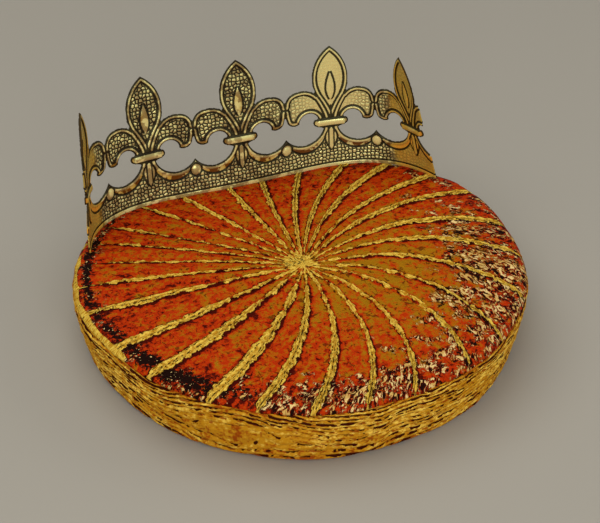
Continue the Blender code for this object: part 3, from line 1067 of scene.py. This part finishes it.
@dataclass
class CrownCurve:
    """The plane curve along which the crown's strip is bent, and the lean of the card above it."""

    seat: Seat
    half: float = 0.1284
    middle_turn: float = 0.2
    middle_bend: float = -0.354
    side_skew: float = 0.013
    end_bend: float = 1.761
    end_place: float = 0.80
    lean_skew: float = -0.116
    lean_in: float = -0.151

    def angle(self, share: np.ndarray) -> np.ndarray:
        """The strip's turn from its middle: b u + k u^2 + e tanh((u / c)^3), in radians.

        Args:
            share: Shares of the curve's half length.

        Returns:
            The turns.
        """
        return (
            self.middle_bend * share
            + self.side_skew * share**2
            + self.end_bend * np.tanh((share / self.end_place) ** 3)
        )

    def place(self, along: np.ndarray, up: np.ndarray, out: np.ndarray) -> np.ndarray:
        """Carries points of the flat strip to the bent one: a base point, then up the lean, then off the card.

        Args:
            along: Distances along the strip from its middle.
            up: Distances up the card.
            out: Distances off the card's middle, on its decorated side.

        Returns:
            The points.
        """
        level, downhill, normal = self.seat.axes()
        steps = 1600
        share = (np.arange(-steps, steps + 1)) / steps
        heading = math.radians(self.middle_turn) - self.angle(share)
        between = math.radians(self.middle_turn) - self.angle((share[1:] + share[:-1]) / 2.0)
        step = self.half / steps
        forward = np.concatenate([[0.0], np.cumsum(np.cos(between) * step)])
        backward = np.concatenate([[0.0], np.cumsum(np.sin(between) * step)])
        forward = forward - forward[steps]
        backward = backward - backward[steps]
        u = along / self.half
        a = np.interp(u, share, forward)[..., None]
        b = np.interp(u, share, backward)[..., None]
        h = np.interp(u, share, heading)[..., None]
        lean = (self.lean_skew * u + self.lean_in * u * u)[..., None]
        outward = downhill * np.cos(h) - level * np.sin(h)
        rising = normal * np.cos(lean) + outward * np.sin(lean)
        facing = outward * np.cos(lean) - normal * np.sin(lean)
        return np.array(self.seat.middle) + level * a + downhill * b + rising * up[..., None] - facing * out[..., None]


@dataclass
class FleurOutline:
    """The outline of half a fleur module, from the middle of its petal to the joint with the next fleur."""

    pitch: float = 0.0535
    tall: float = 0.0760
    arc_step: float = 0.0008

    def arc(self, start: tuple[float, float], end: tuple[float, float], bulge: float) -> np.ndarray:
        """Points after start, up to end, on an arc that bulges to the left by bulge times its chord.

        Args:
            start: Where the arc starts.
            end: Where it ends.
            bulge: Its height over its chord.

        Returns:
            The points.
        """
        first, last = np.array(start), np.array(end)
        chord = last - first
        length = float(np.hypot(*chord))
        if abs(bulge) < 1e-6:
            count = max(2, round(length / self.arc_step))
            return first + chord * (np.arange(1, count + 1) / count)[:, None]
        radius = length * (0.25 / abs(bulge) + abs(bulge)) / 2.0
        half = math.asin(min(1.0, length / (2.0 * radius)))
        half = math.pi - half if abs(bulge) > 0.5 else half
        count = max(4, round(2.0 * half * radius / self.arc_step))
        along = chord / length
        left = np.array([-along[1], along[0]]) * math.copysign(1.0, bulge)
        angle = -half + 2.0 * half * np.arange(1, count + 1) / count
        forward = length / 2.0 + radius * np.sin(angle)
        outward = radius * (np.cos(angle) - math.cos(half))
        return first + along * forward[:, None] + left * outward[:, None]

    def path(self, start: tuple[float, float], runs: list[tuple[float, float, float]]) -> np.ndarray:
        """A path of arcs, with its points given as shares of the pitch and the height.

        Args:
            start: Where it starts.
            runs: The end and the bulge of each arc.

        Returns:
            The points, in metres.
        """
        scale = np.array([self.pitch, self.tall])
        here = np.array(start) * scale
        parts = [here[None]]
        for x, y, bulge in runs:
            following = np.array([x, y]) * scale
            parts.append(self.arc(tuple(here), tuple(following), bulge))
            here = following
        return np.concatenate(parts)

    def top(self) -> np.ndarray:
        """The upper outline, from the joint over the lobe to the petal's tip."""
        return self.path((0.5, 0.555), [(0.36, 0.655, -0.20), (0.15, 0.605, -0.14), (0.0, 1.0, -0.19)])

    def gap(self) -> np.ndarray:
        """The gap's outline, from under the joint round the lobe, neck and tie to the band's crest."""
        runs = [
            (0.486, 0.436, 0.04),
            (0.347, 0.388, 0.28),
            (0.138, 0.414, -0.42),
            (0.155, 0.402, 0.0),
            (0.155, 0.344, 0.42),
            (0.080, 0.325, 0.0),
            (0.500, 0.285, -0.33),
        ]
        return self.path((0.5, 0.5), runs)

    def nearest(self, x: np.ndarray, y: np.ndarray) -> tuple[np.ndarray, np.ndarray, np.ndarray]:
        """The nearest point of the outline to each point, and its distance.

        Args:
            x: Distances from the petal's middle line, not negative.
            y: Heights up the card.

        Returns:
            The distances, and the nearest points' x and y.
        """
        best = np.full(x.shape, np.inf)
        best_x, best_y = np.zeros_like(x), np.zeros_like(y)
        for run in (self.top(), self.gap()):
            for start, end in zip(run[:-1], run[1:]):
                chord = end - start
                part = ((x - start[0]) * chord[0] + (y - start[1]) * chord[1]) / float(chord @ chord)
                part = np.clip(part, 0.0, 1.0)
                near_x, near_y = start[0] + chord[0] * part, start[1] + chord[1] * part
                apart = np.hypot(x - near_x, y - near_y)
                closer = apart < best
                best = np.where(closer, apart, best)
                best_x, best_y = np.where(closer, near_x, best_x), np.where(closer, near_y, best_y)
        return best, best_x, best_y

    def inside(self, x: np.ndarray, y: np.ndarray) -> np.ndarray:
        """Whether each point is on the card, by counting the outline's edges that a line to the right crosses.

        Args:
            x: Distances from the petal's middle line, not negative.
            y: Heights up the card.

        Returns:
            True where it is.
        """
        half = self.pitch / 2.0 + 1e-5
        loop = np.concatenate([[[-1e-5, -0.01], [half, -0.01]], self.gap()[::-1], self.top(), [[-1e-5, self.tall]]])
        loop[:, 0] = np.where(loop[:, 0] > self.pitch / 2.0 - 1e-7, half, loop[:, 0])
        crossings = np.zeros(x.shape, dtype=bool)
        for start, end in zip(loop, np.roll(loop, -1, axis=0)):
            if start[1] == end[1]:
                continue
            spans = (start[1] > y) != (end[1] > y)
            cross = start[0] + (y - start[1]) * (end[0] - start[0]) / (end[1] - start[1])
            crossings ^= spans & (x < cross)
        return crossings


@dataclass
class CardCrown:
    """The gold card crown: a strip of five embossed fleurs, cut out on a grid and bent along its curve."""

    curve: CrownCurve
    outline: FleurOutline
    fleurs: int = 5
    end_share: float = 0.24
    card: float = 0.0007
    cell: float = 0.000495
    sunk: float = 0.0007
    bead_mm: float = 2.5

    def emboss(self, x: np.ndarray, y: np.ndarray, edge: np.ndarray) -> tuple[np.ndarray, dict[str, np.ndarray]]:
        """The embossed relief of a module: rounded beads, a tie, leaves, a jewel and a hem, each a simple formula.

        Args:
            x: Distances from the petal's middle line, in millimetres.
            y: Heights up the card, in millimetres.
            edge: Distances from the cut edge, in millimetres.

        Returns:
            The relief in millimetres, and the marks: crease and sunk for painted shade, lustre for painted highlight
                and reflection, and pebble.
        """
        tall = self.outline.tall / MM
        half = self.outline.pitch / MM / 2.0
        bead = self.bead_mm
        share = y / tall
        upper = ease(share, 0.400, 0.415)
        lower = 1.0 - ease(share, 0.335, 0.350)
        # The petal's sides run on down to the tie as a narrowing V, with a bead each side of it
        flank = 1.3 + 6.7 * np.maximum((share - 0.42) / 0.19, 0.0) ** 1.35
        petal = np.minimum(edge, flank - x) - bead
        lobe = np.minimum(edge, x - flank) - bead
        joint = bell(x - half, 0.5) * ease(share, 0.48, 0.49) * ease(share, 0.58, 0.57)
        beads = np.maximum.reduce([half_round(part - bead / 2.0, bead / 2.0) for part in (edge, flank - x, x - flank)])
        height = 0.85 * beads * np.maximum(upper, lower * ease(edge, bead, bead - 0.3))
        lines = [bell(petal, 0.58) * upper, bell(lobe, 0.58) * upper, bell(flank - x, 0.6) * upper, joint]
        lines.append(bell(x, 0.5) * upper * ease(share, 0.53, 0.50))
        # A slim leaf stands in the lower half of the petal
        rise = np.clip((share - 0.555) / 0.245, 0.0, 1.0)
        leaf = 2.5 * np.sin(np.pi * rise**0.8)
        in_leaf = ease(leaf - x, -0.2, 0.3) * (rise > 0.0) * (rise < 1.0)
        height = np.maximum(height, 0.7 * in_leaf * (1.0 - 0.5 * np.clip(x / 2.5, 0.0, 1.0)))
        lines.append(bell(x - leaf - 0.3, 0.55) * (rise > 0.03) * (rise < 0.97))
        # One rounded bar ties the neck
        across = y - 0.373 * tall
        in_tie = ease(np.abs(across), 2.7, 2.3) * ease(x, 0.31 * half, 0.29 * half)
        height = np.where(in_tie > 0.05, 1.3 * half_round(across, 2.5) * in_tie + 0.2, height)
        tie_line = bell(np.abs(across) - 2.4, 0.65) * ease(x, 0.33 * half, 0.30 * half)
        lines = [line * (1.0 - in_tie) for line in lines] + [tie_line]
        # Below it two wings sweep out along the scallops, over a stem and a pointed foot
        width = 1.7 + 3.8 * np.sin(np.pi * np.clip(x / half, 0.0, 1.0)) ** 0.8
        wing = edge - width
        fall = np.clip((0.335 - share) / 0.205, 0.0, 1.0)
        foot = 3.6 * np.sin(np.pi * fall**0.85)
        in_foot = ease(foot - x, -0.2, 0.3) * (fall > 0.0) * (fall < 1.0)
        height = np.maximum(height, lower * in_foot * (0.45 + 0.45 * half_round(x, 1.3)))
        lines.append(bell(wing, 0.58) * lower * (1.0 - in_foot))
        lines.append(bell(x - foot, 0.5) * lower * (fall > 0.0) * (fall < 0.99))
        lines.append(bell(x - 1.5, 0.4) * in_foot * lower)
        # A domed jewel under each crest of the band
        jewel = np.hypot((x - half) / 2.9, (y - 0.196 * tall) / 3.4)
        height = np.where(jewel < 1.0, np.maximum(height, 1.3 * half_round(jewel, 1.0)), height)
        lines = [line * ease(jewel, 0.9, 1.1) for line in lines] + [bell(jewel - 1.14, 0.15)]
        # A plain hem
        hem = 1.0 - ease(y, 1.3, 1.6)
        height = np.maximum(height, 0.55 * hem)
        lines.append(bell(y - 1.9, 0.4))
        fields = [ease(petal, 0.1, 0.5) * upper * (1.0 - in_leaf), ease(lobe, 0.1, 0.5) * upper]
        fields.append(ease(wing, 0.1, 0.5) * lower * (1.0 - in_foot) * ease(jewel, 1.1, 1.3) * ease(y, 2.0, 2.4))
        pebble = np.maximum.reduce(fields) * (1.0 - in_tie)
        height = np.where(pebble > 0.0, np.maximum(height, 0.25 * pebble), height)
        # Painted highlight: raised relief and pebble fields get more lustre, so they show paler
        lustre = 0.36 + 0.50 * np.clip(height, 0.0, 1.0) + 0.35 * pebble
        lines.append(bell(edge, 0.74))
        # The wings' sunken band, where the finish adds painted umber shade
        sunk = ease(wing, 0.0, -0.6) * lower * ease(edge, bead - 0.3, bead + 0.3) * (1.0 - in_foot)
        # crease marks painted shade along the outlines of the embossed shapes, with a dark line at the cut edge
        marks = {"crease": np.maximum.reduce(lines), "lustre": lustre, "pebble": pebble, "sunk": sunk}
        return height, marks

    def build(self) -> bpy.types.Object:
        """Builds the crown. Grid points just off the card are pulled in to its cut edge, which keeps it smooth.

        Returns:
            The crown's object.
        """
        pitch, tall = self.outline.pitch, self.outline.tall
        end = ((self.fleurs - 1) / 2.0 + self.end_share) * pitch
        columns = round(2.0 * end / self.cell) + 1
        rows = round((tall + self.sunk) / self.cell) + 1
        along = np.linspace(-end, end, columns)[None, :] * np.ones((rows, 1))
        up = np.linspace(-self.sunk, tall, rows)[:, None] * np.ones((1, columns))
        module = np.clip(np.round(along / pitch), -(self.fleurs // 2), self.fleurs // 2)
        local = along - module * pitch
        side = np.where(local < 0.0, -1.0, 1.0)
        x = np.minimum(np.abs(local), pitch / 2.0)
        apart, near_x, near_y = self.outline.nearest(x, up)
        inside = self.outline.inside(x, up)
        close = ~inside & (apart < 0.72 * self.cell)
        pulled_along = module * pitch + side * near_x
        at_end = np.abs(along) > end - 1e-7
        along = np.where(close, np.where(at_end, along, pulled_along), along)
        up = np.where(close, near_y, up)
        x = np.where(close, near_x, x)
        apart = np.where(close, 0.0, apart)
        height, marks = self.emboss(x / MM, up / MM, apart / MM)
        # Painted reflection: the fleur one pitch along from the middle is paler and its upper part plain, as a broad
        # highlight on the foil; the ends are plain and a deeper gold
        painted_reflection = bell(along - pitch, 0.45 * pitch)
        plain_end = ease(np.abs(along), 1.60 * pitch, 1.75 * pitch)
        marks["lustre"] = marks["lustre"] + 0.45 * painted_reflection - 0.75 * plain_end
        high = ease(up, 0.25 * tall, 0.32 * tall)
        marks["pebble"] = marks["pebble"] * (1.0 - 0.95 * painted_reflection * high) * (1.0 - 0.7 * plain_end)
        out = self.card / 2.0 + (height - 0.55) * MM
        points = self.curve.place(along, up, out)
        quads = grid_quads(rows, columns, closed=False)
        kept = (inside | close).ravel()
        on_card = kept[quads]
        some_inside = inside.ravel()[quads].any(axis=1)
        cut = quads[(on_card.sum(axis=1) == 3) & some_inside]
        missing = np.argmin(kept[cut], axis=1)
        around = (missing[:, None] + np.arange(1, 4)) % 4
        fans = np.take_along_axis(cut, around, axis=1)
        quads = quads[on_card.all(axis=1) & some_inside]
        used = np.unique(np.concatenate([quads.ravel(), fans.ravel()]))
        renumbered = np.zeros(rows * columns, dtype=np.int64)
        renumbered[used] = np.arange(len(used))
        marks = {label: (value * np.ones_like(x)).ravel()[used] for label, value in marks.items()}
        flat = np.stack([along.ravel()[used], up.ravel()[used]], axis=-1)
        points = points.reshape(-1, 3)[used]
        made = Piece("card_crown", points, renumbered[quads], renumbered[fans], marks, flat).build()
        wall = made.modifiers.new("card", "SOLIDIFY")
        wall.thickness = self.card
        wall.offset = -1.0
        return made


# ---------------------------------------------------------------------------------------------------------------
# The studio
# ---------------------------------------------------------------------------------------------------------------


@dataclass
class Studio:
    """The table, the soft lights and the camera."""

    elevation: float = 36.6
    distance: float = 1.15
    aim_height: float = 0.037
    lens: float = 130.2
    shift: float = 0.0068

    def camera(self) -> None:
        """Sets the camera, looking down at the rim's middle from the front."""
        data = bpy.data.cameras.new("camera")
        data.lens = self.lens
        data.sensor_width = 36.0
        data.shift_y = self.shift
        made = bpy.data.objects.new("camera", data)
        angle = math.radians(self.elevation)
        made.location = (0.0, -self.distance * math.cos(angle), self.aim_height + self.distance * math.sin(angle))
        made.rotation_euler = (math.pi / 2.0 - angle, 0.0, 0.0)
        bpy.context.scene.collection.objects.link(made)
        bpy.context.scene.camera = made

    def light(self, name: str, place: tuple[float, float, float], size: float, watts: float, colour: tuple[float, float, float]) -> None:
        """Adds a square soft light that faces the pastry.

        Args:
            name: The light's name.
            place: Where it hangs.
            size: Its width.
            watts: Its power.
            colour: Its colour.
        """
        data = bpy.data.lights.new(name, "AREA")
        data.size = size
        data.energy = watts
        data.color = colour
        made = bpy.data.objects.new(name, data)
        made.location = place
        aim = Vector((0.0, 0.0, self.aim_height)) - Vector(place)
        made.rotation_euler = aim.to_track_quat("-Z", "Y").to_euler()
        bpy.context.scene.collection.objects.link(made)

    def table(self) -> None:
        """Adds the table top."""
        reach = 4.0
        points = np.array([[-reach, -reach, 0.0], [reach, -reach, 0.0], [reach, reach, 0.0], [-reach, reach, 0.0]])
        made = Piece("table_top", points, np.array([[0, 1, 2, 3]])).build()
        made.data.materials.append(TableFinish().material())

    def world(self) -> None:
        """Sets an even, slightly warm surround."""
        made = bpy.data.worlds.new("surround")
        made.use_nodes = True
        ground = made.node_tree.nodes["Background"]
        ground.inputs["Color"].default_value = (1.0, 0.97, 0.92, 1.0)
        ground.inputs["Strength"].default_value = 0.28
        bpy.context.scene.world = made

    def build(self) -> None:
        """Sets up the whole studio."""
        self.camera()
        self.table()
        self.world()
        self.light("key", (-0.36, 0.10, 1.15), 1.3, 8.3, (1.0, 0.97, 0.92))
        self.light("front", (0.10, -1.1, 0.50), 0.8, 6.8, (1.0, 0.97, 0.93))
        self.light("right", (1.0, 0.2, 0.7), 0.6, 2.2, (1.0, 0.97, 0.93))
        bpy.context.scene.view_settings.view_transform = "Standard"


def main() -> None:
    """Builds the galette, its crown and the studio."""
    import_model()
    seat = Seat()
    form = PastryForm(seat)
    place_piece(TopCrust(form).build(), ("galette",), CrustFinish().material())
    place_piece(LayeredSide(form).build(), ("galette",), LayersFinish().material())
    crown = CardCrown(CrownCurve(seat), FleurOutline())
    place_piece(crown.build(), ("paper_crown",), FoilFinish().material())
    Studio().build()


if __name__ == "__main__":
    main()
